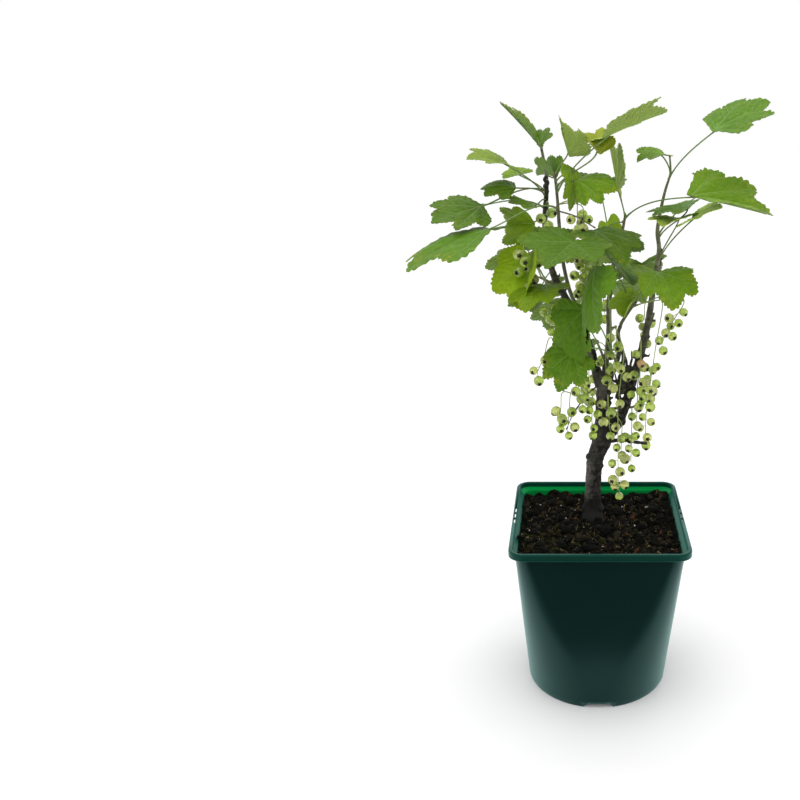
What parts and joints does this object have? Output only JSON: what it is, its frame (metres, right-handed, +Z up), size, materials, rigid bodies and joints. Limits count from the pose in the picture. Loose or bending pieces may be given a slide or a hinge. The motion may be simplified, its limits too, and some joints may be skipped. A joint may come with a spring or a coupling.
{
  "type": "potted white currant bush",
  "caption": "Fruiting white currant bush with a forked woody stem, lobed leaves and hanging strings of pale berries, in a square-topped green nursery pot.",
  "frame": {"origin": "centre of the flat disc under the pot, on the surface it stands on", "axes": "+Z up the plant, +X to the viewer's right, -Y towards the viewer of the picture"},
  "size_m": [0.3285, 0.2424, 0.5706],
  "materials": {
    "pot": "moulded dark green plastic",
    "soil": "moist dark potting compost",
    "wood": "rough dark grey-brown bark",
    "foliage": "leaves and berries"
  },
  "bodies": {
    "root": {"pot": "pot", "soil": "soil", "bough_centre": "wood", "bough_fore": "wood", "bough_inner": "wood", "bough_left": "wood", "bough_right": "wood", "bough_right_inner": "wood", "stub_cut": "wood", "stub_low": "wood", "trunk": "wood", "twig_dead": "wood", "foliage_back_left": "foliage", "foliage_back_low": "foliage", "foliage_back_middle": "foliage", "foliage_back_right": "foliage", "foliage_centre_top": "foliage", "foliage_fore_top": "foliage", "foliage_front": "foliage", "foliage_left_low": "foliage", "foliage_left_top": "foliage", "foliage_middle": "foliage", "foliage_right": "foliage", "foliage_right_top": "foliage", "fruit_centre": "foliage", "fruit_fork": "foliage", "fruit_fork_right": "foliage", "fruit_left": "foliage", "fruit_right": "foliage"}
  },
  "joints": []
}
